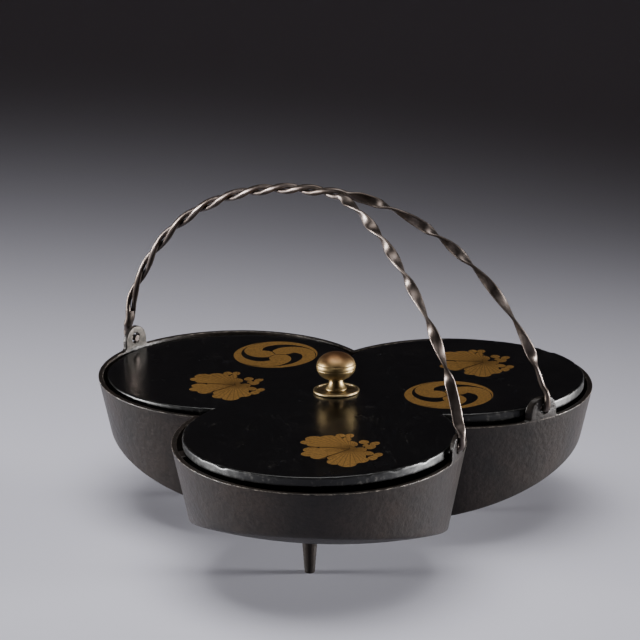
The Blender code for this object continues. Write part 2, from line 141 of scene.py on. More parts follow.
def build(name, shells):
    """One mesh from closed grids of points in millimetres: every quad joins neighbouring rows and
    columns, the last column joins the first, and points that meet at a pole or a seam are merged."""
    points, faces, first = [], [], 0
    for shell in shells:
        rows, columns = shell.shape[:2]
        index = first + np.arange(rows * columns).reshape(rows, columns)
        index = np.column_stack([index, index[:, 0]])
        corners = [index[:-1, :-1], index[:-1, 1:], index[1:, 1:], index[1:, :-1]]
        faces.append(np.stack(corners, -1).reshape(-1, 4))
        points.append(shell.reshape(-1, 3))
        first += rows * columns
    points = np.vstack(points) + np.array([AXIS_X, 0.0, 0.0])
    faces = np.vstack(faces)
    mesh = bpy.data.meshes.new(name)
    mesh.vertices.add(len(points))
    mesh.vertices.foreach_set("co", (points / 1000).astype(np.float32).ravel())
    mesh.loops.add(faces.size)
    mesh.loops.foreach_set("vertex_index", faces.astype(np.int32).ravel())
    mesh.polygons.add(len(faces))
    mesh.polygons.foreach_set("loop_start", (np.arange(len(faces)) * 4).astype(np.int32))
    mesh.update(calc_edges=True)
    bm = bmesh.new()
    bm.from_mesh(mesh)
    bmesh.ops.remove_doubles(bm, verts=bm.verts, dist=0.000002)
    bm.to_mesh(mesh)
    bm.free()
    mesh.shade_smooth()
    obj = bpy.data.objects.new(name, mesh)
    bpy.context.scene.collection.objects.link(obj)
    return obj


def read(items, what):
    """Place, middle or normal of every vertex or face of a mesh, one row of three numbers each."""
    numbers = np.empty(len(items) * 3, np.float32)
    items.foreach_get(what, numbers)
    return numbers.reshape(-1, 3)


def ramp(value, low, high):
    """Rises from 0 to 1 between two values, level at both ends: t^2 (3 - 2t)."""
    t = np.clip((value - low) / (high - low), 0, 1)
    return t * t * (3 - 2 * t)


def turned(profile, sides, centre=(0.0, 0.0, 0.0)):
    """A profile of (radius, height) pairs, from its low end to its high end, turned about an upright
    line: x = radius cos a, y = radius sin a for an angle a that goes once round."""
    profile = np.array(profile, float)
    angle = np.linspace(0, 2 * np.pi, sides, endpoint=False)
    grid = np.empty((len(profile), sides, 3))
    grid[..., 0] = centre[0] + profile[:, :1] * np.cos(angle)
    grid[..., 1] = centre[1] + profile[:, :1] * np.sin(angle)
    grid[..., 2] = centre[2] + profile[:, 1:]
    return grid


def swing(radius, offset):
    """Half the angle that one lobe's circle turns through between its two notches, from the notch's
    distance offset / 2 + sqrt(radius^2 - 3/4 offset^2) along a line 60 degrees off the lobe."""
    notch = offset / 2 + np.sqrt(radius ** 2 - 0.75 * offset ** 2)
    return np.arctan2(notch * math.sin(math.pi / 3), notch / 2 - offset)


def ear_edge(count):
    """Edge of the rim over one ear: level, up a small hollow, over a half-round top and down again.
    Returns evenly spaced (along, up) points and the inward normals to the edge."""
    half = EAR_WIDTH / 2
    spring = EAR_RISE - half
    a = np.linspace(0, np.pi / 2, 14)
    climb = np.column_stack([-half - EAR_HOLLOW + EAR_HOLLOW * np.sin(a), EAR_HOLLOW * (1 - np.cos(a))])
    over = np.column_stack([-half * np.cos(a), spring + half * np.sin(a)])
    side = np.vstack([[[-EAR_REACH, 0.0]], climb, over])
    edge = np.vstack([side, (side * [-1, 1])[-2::-1]])
    length = np.concatenate([[0], np.cumsum(np.hypot(*np.diff(edge, axis=0).T))])
    at = np.linspace(0, length[-1], count + 1)
    edge = np.column_stack([np.interp(at, length, edge[:, k]) for k in range(2)])
    along = np.gradient(edge, axis=0)
    along /= np.hypot(*along.T)[:, None]
    return edge[:-1], np.column_stack([along[:, 1], -along[:, 0]])[:-1]


def rim_columns():
    """All columns of the vessel, closer together over the ears. Each is its lobe's direction, its place
    along the lobe, and the place, rise and inward normal of the rim's edge there."""
    found = []
    for direction, ear in zip(LOBE_DIRECTIONS, EAR_PLACES):
        middle = LOBE_RADIUS * math.radians(ear)
        edge, normal = ear_edge(EAR_COLUMNS)
        before = np.arange(-RIM_REACH, middle - EAR_REACH - LEAST_STEP, COLUMN_STEP)
        over = middle + np.linspace(-EAR_REACH, EAR_REACH, EAR_COLUMNS, endpoint=False)
        beyond = middle + EAR_REACH
        after = np.linspace(beyond, RIM_REACH, int((RIM_REACH - beyond) / COLUMN_STEP), endpoint=False)
        place = np.concatenate([before, over, after])
        on_ear = slice(len(before), len(before) + EAR_COLUMNS)
        top = np.column_stack([place, np.zeros(len(place))])
        top[on_ear] = edge + [middle, 0]
        inward = np.tile([0.0, -1.0], (len(place), 1))
        inward[on_ear] = normal
        found.append(np.column_stack([np.full(len(place), math.radians(direction)), place, top, inward]))
    return np.vstack(found)


RIM_REACH = LOBE_RADIUS * swing(LOBE_RADIUS, LOBE_OFFSET)
column_lobe, column_place, edge_place, edge_rise, inward_place, inward_rise = rim_columns().T


def on_lobes(lobe, turn, offset, radius, height):
    """Points round the middles of their lobes: offset (cos lobe, sin lobe) + radius (cos turn, sin turn)."""
    return np.column_stack([offset * np.cos(lobe) + radius * np.cos(turn),
                            offset * np.sin(lobe) + radius * np.sin(turn),
                            np.broadcast_to(height, turn.shape)])


def wall_points(place, height, inset):
    """Points on the lobes' tapered walls: the lobe's middle plus its radius at that height, less the inset,
    in the direction of the column's share of the lobe's swing."""
    radius = LOBE_RADIUS + WALL_TAPER * np.minimum(height - RIM, 0) - inset
    turn = column_lobe + place / RIM_REACH * swing(radius, LOBE_OFFSET)
    return on_lobes(column_lobe, turn, LOBE_OFFSET, radius, height)


def near_edge(offset):
    """Places along the wall and heights of the rim's edge, set in by an offset along its normal."""
    return edge_place + inward_place * offset, RIM + edge_rise + inward_rise * offset


def bottom_height(points, lift):
    """Height of the rounded bottom, part of a sphere, at the distance d from the axis: the clearance + R
    - sqrt((R - lift)^2 - d^2)."""
    return FOOT_CLEARANCE + DOME_RADIUS - np.sqrt((DOME_RADIUS - lift) ** 2 - (points[..., :2] ** 2).sum(-1))


def bowl_rows(inset, lift, ease, wall_rows, bottom_rows):
    """Rows of one face of the bowl from the axis outwards and up to the rim's rounded edge: the bottom, a
    soft corner (a quadratic curve through the crease) and the wall. The crease's height is found by halving
    the error sixty times, and near the rim the columns lean over to follow the ears."""
    height = np.full(len(column_place), RIM / 2)
    for _ in range(60):
        height = (height + bottom_height(wall_points(column_place, height, inset), lift)) / 2
    crease = wall_points(column_place, height, inset)
    above = wall_points(column_place, height + ease, inset)
    within = crease * (1 - ease / np.hypot(crease[:, 0], crease[:, 1]))[:, None]
    within[:, 2] = bottom_height(within, lift)
    rows = []
    for share in np.linspace(0, 1, bottom_rows, endpoint=False) ** 0.8:
        row = within * share
        row[:, 2] = bottom_height(row, lift)
        rows.append(row)
    for t in np.linspace(0, 1, 7):
        rows.append((1 - t) ** 2 * within + 2 * t * (1 - t) * crease + t * t * above)
    base = RIM - EDGE_BLEND
    for t in np.linspace(0, 1, wall_rows)[1:]:
        rows.append(wall_points(column_place, (height + ease) * (1 - t) + base * t, inset))
    top_place, top_height = near_edge(RIM_EASE)
    for t in np.linspace(0, 1, 12)[1:]:
        lean = ramp(t, 0, 1)
        place = column_place * (1 - lean) + top_place * lean
        rows.append(wall_points(place, base * (1 - t) + top_height * t, inset))
    return rows


rows = bowl_rows(0.0, 0.0, CREASE_EASE, 16, 26)
for a in np.radians((30, 60, 90)):
    rows.append(wall_points(*near_edge(RIM_EASE * (1 - np.sin(a))), RIM_EASE * (1 - np.cos(a))))
for a in np.radians((90, 60, 30)):
    rows.append(wall_points(*near_edge(RIM_EASE * (1 - np.sin(a))), WALL - RIM_EASE * (1 - np.cos(a))))
rows += bowl_rows(WALL, FLOOR, INNER_CREASE_EASE, 10, 14)[::-1]
vessel = build("vessel_casting", [np.array(rows)])


def bar_grid(path, wide, thin, width, depth, roundness, sides):
    """A bar carried along a path: at each station a superellipse, width |cos a|^(2/n) by depth |sin a|^(2/n),
    stands on the wide and thin directions, and a point closes each end."""
    angle = np.linspace(0, 2 * np.pi, sides, endpoint=False)
    power = (2 / np.broadcast_to(roundness, len(path)))[:, None]
    shares = []
    for wave, size in ((np.cos(angle), width), (np.sin(angle), depth)):
        half = (np.broadcast_to(size, len(path)) / 2)[:, None]
        shares.append((np.sign(wave) * np.abs(wave) ** power * half)[..., None])
    grid = path[:, None] + shares[0] * wide[:, None] + shares[1] * thin[:, None]
    ends = [np.broadcast_to(path[k], (1, sides, 3)) for k in (0, -1)]
    return np.vstack([ends[0], grid, ends[1]])


def polar(radius, degrees):
    """Point at a radius and an angle round the vessel's axis, on the table."""
    return np.array([radius * math.cos(math.radians(degrees)), radius * math.sin(math.radians(degrees)), 0.0])


foot_top = float(bottom_height(polar(LOBE_OFFSET + FOOT_TOP_RADIUS, 0.0), 0.0)) + FOOT_SINK
t = np.linspace(0, 1, 26)
radius = FOOT_TIP_RADIUS + (FOOT_TOP_RADIUS - FOOT_TIP_RADIUS) * t
radius += FOOT_RING_HEIGHT * np.cos(2 * np.pi * t * FOOT_RINGS)
shaft = np.column_stack([radius, FOOT_TIP_EDGE + (foot_top - FOOT_TIP_EDGE) * t])
bevel = 0.3 * FOOT_TIP_EDGE
tip = [(0.0, 0.0), (FOOT_TIP_RADIUS - FOOT_TIP_EDGE, 0.0), (FOOT_TIP_RADIUS - bevel, bevel)]
foot_profile = np.vstack([tip, shaft, [(0.0, foot_top)]])
feet = [turned(foot_profile, 32, polar(LOBE_OFFSET, lobe + FOOT_TURN)) for lobe in LOBE_DIRECTIONS]
lugs = []
for lobe, facing in LUG_PLACES:
    outward = polar(1.0, facing)
    centre = polar(LOBE_OFFSET, lobe)
    tip = centre + outward * (LOBE_RADIUS - WALL - LUG_REACH)
    root = centre + outward * (LOBE_RADIUS - WALL / 2)
    under = [RIM + LID_TOP_ABOVE_RIM - LID_THICKNESS + math.tan(math.radians(LID_PITCH)) * p[0]
             + math.tan(math.radians(LID_ROLL)) * p[1] for p in (tip, root)]
    height = min(under) - LUG_GAP - LUG_HEIGHT / 2
    root -= outward * WALL_TAPER * (RIM - height + LUG_HEIGHT / 2)
    path = np.linspace(tip, root, 6) + [0, 0, height]
    wide = np.cross([0, 0, 1.0], outward)[None]
    lugs.append(bar_grid(path, wide, np.cross(outward, wide), LUG_WIDTH, LUG_HEIGHT, 8.0, 40))
additions = build("feet_and_lugs", feet + lugs)
holes = []
along = np.array([-DRILL_REACH, -HOLE_STRAIGHT, HOLE_STRAIGHT, DRILL_REACH])
size = 2 * HOLE_RADIUS + 2 * np.maximum(np.abs(along) - HOLE_STRAIGHT, 0)
for lobe, ear in zip(LOBE_DIRECTIONS, EAR_PLACES):
    outward = polar(1.0, lobe + ear)
    middle = polar(LOBE_OFFSET, lobe) + outward * (LOBE_RADIUS - WALL / 2) + [0, 0, HOLE_HEIGHT]
    wide = np.cross([0, 0, 1.0], outward)[None]
    path = middle + along[:, None] * outward
    holes.append(bar_grid(path, wide, np.array([[0, 0, 1.0]]), size, size, 2.3, 24))
drilling = build("ear_drilling", holes)
for operation, tool in (("UNION", additions), ("DIFFERENCE", drilling)):
    change = vessel.modifiers.new(operation.lower(), "BOOLEAN")
    change.operation = operation
    change.solver = "EXACT"
    change.object = tool
bpy.context.view_layer.update()
joined = bpy.data.meshes.new_from_object(vessel.evaluated_get(bpy.context.evaluated_depsgraph_get()))
vessel.modifiers.clear()
vessel.data = joined
for tool in (additions, drilling):
    bpy.data.objects.remove(tool, do_unlink=True)


def press_in(obj):
    """The casting is a little out of round beside the front ear. Points move by the press's depth times
    exp(-(d / spread)^2) at the distance d from that place, and less so low down and high up."""
    places = read(obj.data.vertices, "co")
    across = places[:, 0] * 1000 - AXIS_X - PRESS_PLACE[0]
    away = np.hypot(across, places[:, 1] * 1000 - PRESS_PLACE[1])
    height = places[:, 2] * 1000
    weight = np.exp(-(away / PRESS_SPREAD) ** 2) * np.clip((height - PRESS_HEIGHTS[0]) / PRESS_FADE, 0, 1)
    weight *= np.clip((PRESS_HEIGHTS[1] - height) / PRESS_FADE, 0, 1)
    places[:, :2] += PRESS_DEPTH / 1000 * weight[:, None] * PRESS_DIRECTION
    obj.data.vertices.foreach_set("co", places.ravel())
    obj.data.update()


press_in(vessel)
vessel.data.set_sharp_from_angle(angle=math.radians(38))

# Grey cast iron, rubbed and blackened: nearly black and satin; fine sand pits about 0.9 mm apart
# on a skin that rolls every 4 mm, patches of oxide some 20 mm across, and a thin broken light line
# round the rim's rounded edge, partly rubbed metal and partly a painted highlight.
cast_iron, tree = new_material("blackened_cast_iron")
at = add_node(tree, "TexCoord").outputs["Object"]
patches = add_node(tree, "TexNoise", None, {"Vector": at, "Scale": 45.0, "Detail": 5.0})
grain = add_node(tree, "TexNoise", None, {"Vector": at, "Scale": 650.0, "Detail": 6.0, "Roughness": 0.65})
pits = add_node(tree, "TexVoronoi", None, {"Vector": at, "Scale": 1100.0})
colour = add_node(tree, "ValToRGB", None, {"Fac": patches}, ((0.32, "#181411"), (0.7, "#28201b")))
speckle = add_node(tree, "ValToRGB", None, {"Fac": grain}, ((0.3, "#a8a39e"), (0.66, "#ffffff")))
shade = add_node(tree, "Mix", {"data_type": "RGBA", "blend_type": "MULTIPLY"},
                 {0: 1.0, 6: colour, 7: speckle})
height = add_node(tree, "SeparateXYZ", None, {0: at}).outputs["Z"]
# Painted highlight, partly rubbed wear: a light grey line round the rim's rounded edge, just under its flat
# top, broken by noise.
upper = add_node(tree, "MapRange", None, {"Value": height, "From Min": (RIM - 0.5) / 1000,
                                          "From Max": (RIM - 0.3) / 1000})
lower = add_node(tree, "MapRange", None, {"Value": height, "From Min": (RIM - 0.02) / 1000,
                                          "From Max": (RIM - 0.08) / 1000})
rubbed_and_sheen = add_node(tree, "Math", "MULTIPLY", {0: upper, 1: lower})
broken = add_node(tree, "TexNoise", None, {"Vector": at, "Scale": 260.0, "Detail": 5.0, "Roughness": 0.7})
broken = add_node(tree, "MapRange", None, {"Value": broken, "From Min": 0.46, "From Max": 0.7})
rubbed_and_sheen = add_node(tree, "Math", "MULTIPLY", {0: rubbed_and_sheen, 1: broken})
worn_and_highlit = add_node(tree, "Mix", {"data_type": "RGBA"}, {0: rubbed_and_sheen, 6: shade.outputs[2], 7: linear("#7d756d")})
gloss = add_node(tree, "MapRange", None, {"Value": grain, "From Min": 0.3, "From Max": 0.7,
                                          "To Min": 0.36, "To Max": 0.5})
relief = add_node(tree, "Math", "ADD", {0: grain, 1: pits})
fine = add_node(tree, "Bump", None, {"Strength": 0.25, "Distance": 0.00006, "Height": relief})
skin = add_node(tree, "TexNoise", None, {"Vector": at, "Scale": 230.0, "Detail": 3.0, "Roughness": 0.55})
bump = add_node(tree, "Bump", None, {"Strength": 0.8, "Distance": 0.0005, "Height": skin, "Normal": fine})
shader = add_node(tree, "BsdfPrincipled", None,
                  {"Base Color": worn_and_highlit.outputs[2], "Metallic": 0.2, "Specular IOR Level": 0.32,
                   "Roughness": gloss, "Normal": bump})
add_node(tree, "OutputMaterial", None, {"Surface": shader})

# The ears' inner faces, rubbed to bare metal by the lid and by fingers, and lightened further as a
# painted sheen of the light they catch: lighter, and scratched in marks of about 2 mm.
RUBBED_SHEEN_DEPTH = 2.0
RUBBED_SHEEN_FACING = 0.8
RUBBED_SHEEN_ABOVE = 0.4
rubbed_iron_and_sheen, tree = new_material("rubbed_cast_iron_painted_sheen")
at = add_node(tree, "TexCoord").outputs["Object"]
scratched = add_node(tree, "TexNoise", None, {"Vector": at, "Scale": 420.0, "Detail": 6.0, "Roughness": 0.7})
colour = add_node(tree, "ValToRGB", None, {"Fac": scratched}, ((0.35, "#1c1a17"), (0.65, "#47423d")))
bump = add_node(tree, "Bump", None, {"Strength": 0.4, "Distance": 0.0001, "Height": scratched})
shader = add_node(tree, "BsdfPrincipled", None,
                  {"Base Color": colour, "Metallic": 0.7, "Roughness": 0.58, "Normal": bump})
add_node(tree, "OutputMaterial", None, {"Surface": shader})
vessel.data.materials.clear()
vessel.data.materials.append(cast_iron)
vessel.data.materials.append(rubbed_iron_and_sheen)
# Painted sheen, partly rubbed metal: faces of the ears that face inward above the rim take the lighter iron.
middles = read(vessel.data.polygons, "center") * 1000 - [AXIS_X, 0, 0]
facing = read(vessel.data.polygons, "normal")
rubbed_and_sheen = np.zeros(len(middles), np.int32)
for lobe, ear in zip(LOBE_DIRECTIONS, EAR_PLACES):
    outward = polar(1.0, lobe + ear)
    reach = (middles - polar(LOBE_OFFSET, lobe)) @ outward
    inner = (reach > LOBE_RADIUS - WALL - RUBBED_SHEEN_DEPTH) & (reach < LOBE_RADIUS - WALL / 2)
    rubbed_and_sheen[inner & (facing @ outward < -RUBBED_SHEEN_FACING) & (middles[:, 2] > RIM + RUBBED_SHEEN_ABOVE)] = 1
vessel.data.polygons.foreach_set("material_index", rubbed_and_sheen)
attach(vessel, "root")
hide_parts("vessel")

# Lid. A thin board cut to the same three lobes, black lacquered on all faces; its edge has been
# knocked, so the lacquer is chipped along the upper corner. It lies loose and a little askew.
# The roundels and leaf sprays are gold powder in the lacquer: colour only, with no relief.
LID_LOBE_RADIUS = 77.4
LID_LOBE_OFFSET = 77.6
LID_CORNER = 0.9
LID_COLUMNS = 220
LID_FLAT_INSET = 2.4
EDGE_NORMAL = 0.9
BITE_DEPTH = 0.55
BITE_SHARE = 0.2
BITE_SEED = 4
ORNAMENT_TURN = math.radians(36.4)
SPRAYS = ((9.0, -106.3), (89.5, 57.5), (-60.5, 15.5))
SPRAY_MIDDLE = (-4.5, -2.5)
ROUNDELS = ((-38.6, 78.0), (66.2, -8.5))
ROUNDEL_SIZES = ((25.96, 28.47), (26.1, 27.0))


def lid_place(points):
    """Board's own points, with its middle at nought, rolled about X, pitched about Y and set in place."""
    roll, pitch = math.radians(LID_ROLL), -math.radians(LID_PITCH)
    about_x = np.array([[1, 0, 0],
                        [0, math.cos(roll), -math.sin(roll)],
                        [0, math.sin(roll), math.cos(roll)]])
    about_y = np.array([[math.cos(pitch), 0, math.sin(pitch)],
                        [0, 1, 0],
                        [-math.sin(pitch), 0, math.cos(pitch)]])
    return points @ (about_y @ about_x).T + [0, 0, RIM + LID_TOP_ABOVE_RIM - LID_THICKNESS / 2]


def lid_row(inset, height):
    """Outline of the board set in by a distance, as one row of points: on each lobe the middle plus the
    radius less the inset, turned evenly from notch to notch."""
    lobes = np.repeat(np.radians(LOBE_DIRECTIONS), LID_COLUMNS)
    radius = np.broadcast_to(LID_LOBE_RADIUS - inset, lobes.shape)
    share = np.tile(np.linspace(-1, 1, LID_COLUMNS, endpoint=False), 3)
    turn = lobes + share * swing(radius, LID_LOBE_OFFSET)
    return on_lobes(lobes, turn, LID_LOBE_OFFSET, radius, height)


def knocks(seed, share):
    """Small bites along the edge: smoothed noise round the outline, of which the highest share is kept."""
    noise = np.random.default_rng(seed).normal(size=3 * LID_COLUMNS)
    noise = sum(np.roll(noise, k) * w for k, w in ((-2, 0.3), (-1, 0.8), (0, 1.0), (1, 0.8), (2, 0.3)))
    return np.clip(noise - np.quantile(noise, 1 - share), 0, 2) / 2


bite = BITE_DEPTH * knocks(BITE_SEED, BITE_SHARE)
half = LID_THICKNESS / 2
rows = [lid_row(LID_CORNER, -half) * [share, share, 1] for share in (0.0, 0.35, 0.7, 0.9)]
for a in np.radians((-90, -60, -30, 0)):
    rows.append(lid_row(LID_CORNER * (1 - math.cos(a)), -half + LID_CORNER * (1 + math.sin(a))))
for height in np.linspace(-half + LID_CORNER, half - LID_CORNER, 6)[1:-1]:
    rows.append(lid_row(0.0, height))
for a in np.radians((0, 22, 45, 68, 90)):
    rows.append(lid_row(LID_CORNER * (1 - math.cos(a)) + bite * math.sin(a + 0.4),
                        half - LID_CORNER * (1 - math.sin(a)) - 0.7 * bite * math.cos(a - 0.8)))
rows += [lid_row(LID_FLAT_INSET, half) * [share, share, 1] for share in np.linspace(1, 0, 48)]
lid = build("lid_board", [lid_place(np.array(rows))])
lid.data.set_sharp_from_angle(angle=math.radians(50))


def plan(mesh):
    """Places of a mesh's corners and middles of its faces, in millimetres across and away from the middle of
    the lid, in the direction all the ornaments face."""
    turn = np.array([[math.cos(ORNAMENT_TURN), -math.sin(ORNAMENT_TURN)],
                     [math.sin(ORNAMENT_TURN), math.cos(ORNAMENT_TURN)]])
    corners = np.empty(len(mesh.loops), np.int32)
    mesh.loops.foreach_get("vertex_index", corners)
    groups = (read(mesh.vertices, "co"), read(mesh.polygons, "center"))
    places, middles = [(group[:, :2] * 1000 - [AXIS_X, 0]) @ turn for group in groups]
    return places[corners], middles


# Each face of the board belongs to its nearest ornament, and its UV place is measured from that
# ornament: in millimetres for a spray, in radii for a roundel.
corners, middles = plan(lid.data)
centres = np.array([np.add(spray, SPRAY_MIDDLE) for spray in SPRAYS] + list(ROUNDELS))
nearest = np.argmin(np.linalg.norm(middles[:, None] - centres, axis=2), axis=1)
sides = np.empty(len(lid.data.polygons), np.int32)
lid.data.polygons.foreach_get("loop_total", sides)
origins = np.array(SPRAYS + ROUNDELS)
unit = np.array([(1.0, 1.0)] * len(SPRAYS) + list(ROUNDEL_SIZES))
owner = np.repeat(nearest, sides)
uv = lid.data.uv_layers.new(name="ornament")
uv.data.foreach_set("uv", ((corners - origins[owner]) / unit[owner]).astype(np.float32).ravel())
on_edge = read(lid.data.polygons, "normal")[:, 2] < EDGE_NORMAL
finish = np.where(on_edge, 2, nearest >= len(SPRAYS))
lid.data.polygons.foreach_set("material_index", finish.astype(np.int32))


def three_commas(tree, at):
    """Mask of a gold disc with three black commas, from the distance r to the middle in radii and the share s
    of a third of a turn. A comma's body lies from 0.25 + 0.69 sin(90 degrees t^1.15) to 0.594 + 0.371 s^0.77,
    where t rises from 0 to 1 after s = 1/15. Its head opens as a wedge round r = 0.447 at the end of the
    third before, and its tail thins out along the rim in the third behind, at r = 0.9525 + 0.285 s. A black
    seam parts the gold within r = 0.26, where each body starts."""
    start = 1 / 15
    head_radius = 0.447
    parts = add_node(tree, "SeparateXYZ", None, {0: at})
    distance = add_node(tree, "VectorMath", "LENGTH", {0: at}).outputs["Value"]
    angle = add_node(tree, "Math", "ARCTAN2", {0: parts.outputs["Y"], 1: parts.outputs["X"]})
    share = add_node(tree, "Math", "MULTIPLY_ADD", {0: angle, 1: -1.5 / math.pi, 2: 6.0})
    share = add_node(tree, "Math", "FRACT", {0: share})
    inner = add_node(tree, "MapRange", None, {"Value": share, "From Min": start, "From Max": 1.0})
    inner = add_node(tree, "Math", "POWER", {0: inner, 1: 1.15})
    inner = add_node(tree, "Math", "MULTIPLY", {0: inner, 1: math.pi / 2})
    inner = add_node(tree, "Math", "SINE", {0: inner})
    inner = add_node(tree, "Math", "MULTIPLY_ADD", {0: inner, 1: 0.69, 2: 0.25})
    outer = add_node(tree, "Math", "POWER", {0: share, 1: 0.77})
    outer = add_node(tree, "Math", "MULTIPLY_ADD", {0: outer, 1: 0.371, 2: 0.594})
    over = add_node(tree, "Math", "GREATER_THAN", {0: distance, 1: inner})
    under = add_node(tree, "Math", "LESS_THAN", {0: distance, 1: outer})
    body = add_node(tree, "Math", "MULTIPLY", {0: over, 1: under})
    opening = add_node(tree, "MapRange", None, {"Value": share, "From Min": 0.858, "To Max": 0.155})
    thinning = add_node(tree, "MapRange", None,
                        {"Value": share, "From Max": 1 / 6, "To Min": 0.0125, "To Max": 0.0})
    along = add_node(tree, "Math", "MULTIPLY_ADD", {0: share, 1: 0.285, 2: 0.9525})
    mask = add_node(tree, "Math", "LESS_THAN", {0: distance, 1: 1.0})
    mask = add_node(tree, "Math", {"operation": "SUBTRACT", "use_clamp": True}, {0: mask, 1: body})
    for middle, half_width in ((head_radius, opening), (along, thinning)):
        off = add_node(tree, "Math", "SUBTRACT", {0: distance, 1: middle})
        off = add_node(tree, "Math", "ABSOLUTE", {0: off})
        black = add_node(tree, "Math", "LESS_THAN", {0: off, 1: half_width})
        mask = add_node(tree, "Math", {"operation": "SUBTRACT", "use_clamp": True}, {0: mask, 1: black})
    seam = add_node(tree, "Math", "SUBTRACT", {0: share, 1: start})
    seam = add_node(tree, "Math", "ABSOLUTE", {0: seam})
    seam = add_node(tree, "Math", "MULTIPLY", {0: seam, 1: distance})
    seam = add_node(tree, "Math", "GREATER_THAN", {0: seam, 1: 0.0055})
    beyond = add_node(tree, "Math", "GREATER_THAN", {0: distance, 1: 0.26})
    seam = add_node(tree, "Math", "MAXIMUM", {0: seam, 1: beyond})
    return add_node(tree, "Math", "MULTIPLY", {0: mask, 1: seam}), 0.0


def leaf_spray(tree, at):
    """Mask of a spray of three lobed leaves under three stalks of buds, as a union of ellipses: each is
    (x, y, half width, half height, degrees), and its own scaled distance is under one inside it. The second
    mask holds the veins: thin lines that spread evenly from the root, and wider ones between the leaves."""
    nearest = None
    for x, y, wide, tall, turn in (
            (-20.5, 17.5, 5.0, 5.0, 0), (-24.2, 11.8, 3.9, 3.6, 0), (-19.2, 8.0, 5.2, 4.9, 0),
            (-12.4, 17.6, 6.0, 6.0, 0), (-8.5, 17.5, 3.6, 5.2, 15), (-10.5, 10.0, 9.5, 10.6, 0),
            (-5.4, 6.4, 4.6, 9.0, 12), (-21.4, -1.4, 4.9, 4.4, 0), (-22.7, -8.3, 4.5, 4.3, 0),
            (-17.4, -13.2, 4.5, 4.4, 0), (-12.5, -4.6, 12.0, 7.2, 16), (-8.2, -15.4, 4.5, 4.8, 0),
            (-8.0, -22.0, 4.8, 5.0, 0), (-1.5, -25.8, 5.2, 5.4, 0), (5.6, -19.6, 4.6, 5.0, 0),
            (0.5, -12.6, 8.0, 13.6, 6),
            (-5.7, 23.1, 2.7, 3.3, 10), (-0.7, 22.7, 2.6, 3.5, -6), (-1.8, 16.6, 2.2, 4.0, 8),
            (1.2, 8.4, 2.9, 4.6, 14), (7.5, 11.2, 2.9, 3.5, 8), (13.6, 8.3, 2.6, 3.5, -30),
            (11.2, 2.6, 2.9, 3.9, -20), (5.8, -1.8, 3.3, 4.0, 15), (1.3, 1.8, 1.7, 3.4, 20),
            (8.4, 5.4, 1.6, 2.6, -20), (10.0, -8.4, 2.9, 3.6, 15), (15.2, -11.2, 2.6, 3.6, -20),
            (12.3, -16.2, 2.7, 3.9, -10)):
        own = add_node(tree, "Mapping", {"vector_type": "TEXTURE"},
                       {"Vector": at, "Location": (x, y, 0.0), "Rotation": (0.0, 0.0, math.radians(turn)),
                        "Scale": (wide, tall, 1.0)})
        length = add_node(tree, "VectorMath", "LENGTH", {0: own}).outputs["Value"]
        nearest = length if nearest is None else add_node(tree, "Math", "MINIMUM", {0: nearest, 1: length})
    mask = add_node(tree, "Math", "LESS_THAN", {0: nearest, 1: 1.0})
    parts = add_node(tree, "SeparateXYZ", None, {0: at})
    distance = add_node(tree, "VectorMath", "LENGTH", {0: at}).outputs["Value"]
    angle = add_node(tree, "Math", "ARCTAN2", {0: parts.outputs["Y"], 1: parts.outputs["X"]})
    wave = add_node(tree, "Math", "MULTIPLY", {0: angle, 1: 24.0})
    wave = add_node(tree, "Math", "SINE", {0: wave})
    wave = add_node(tree, "Math", "ABSOLUTE", {0: wave})
    wave = add_node(tree, "Math", "MULTIPLY", {0: wave, 1: distance})
    veins = add_node(tree, "MapRange", None,
                     {"Value": wave, "From Min": 8.5, "From Max": 3.0, "To Max": 0.55})
    for degrees in (169.4, -132.8):
        off = add_node(tree, "Math", "SUBTRACT", {0: angle, 1: math.radians(degrees)})
        off = add_node(tree, "Math", "ABSOLUTE", {0: off})
        off = add_node(tree, "Math", "MULTIPLY", {0: off, 1: distance})
        parting = add_node(tree, "MapRange", None, {"Value": off, "From Min": 0.55, "From Max": 0.3})
        veins = add_node(tree, "Math", "MAXIMUM", {0: veins, 1: parting})
    return mask, veins


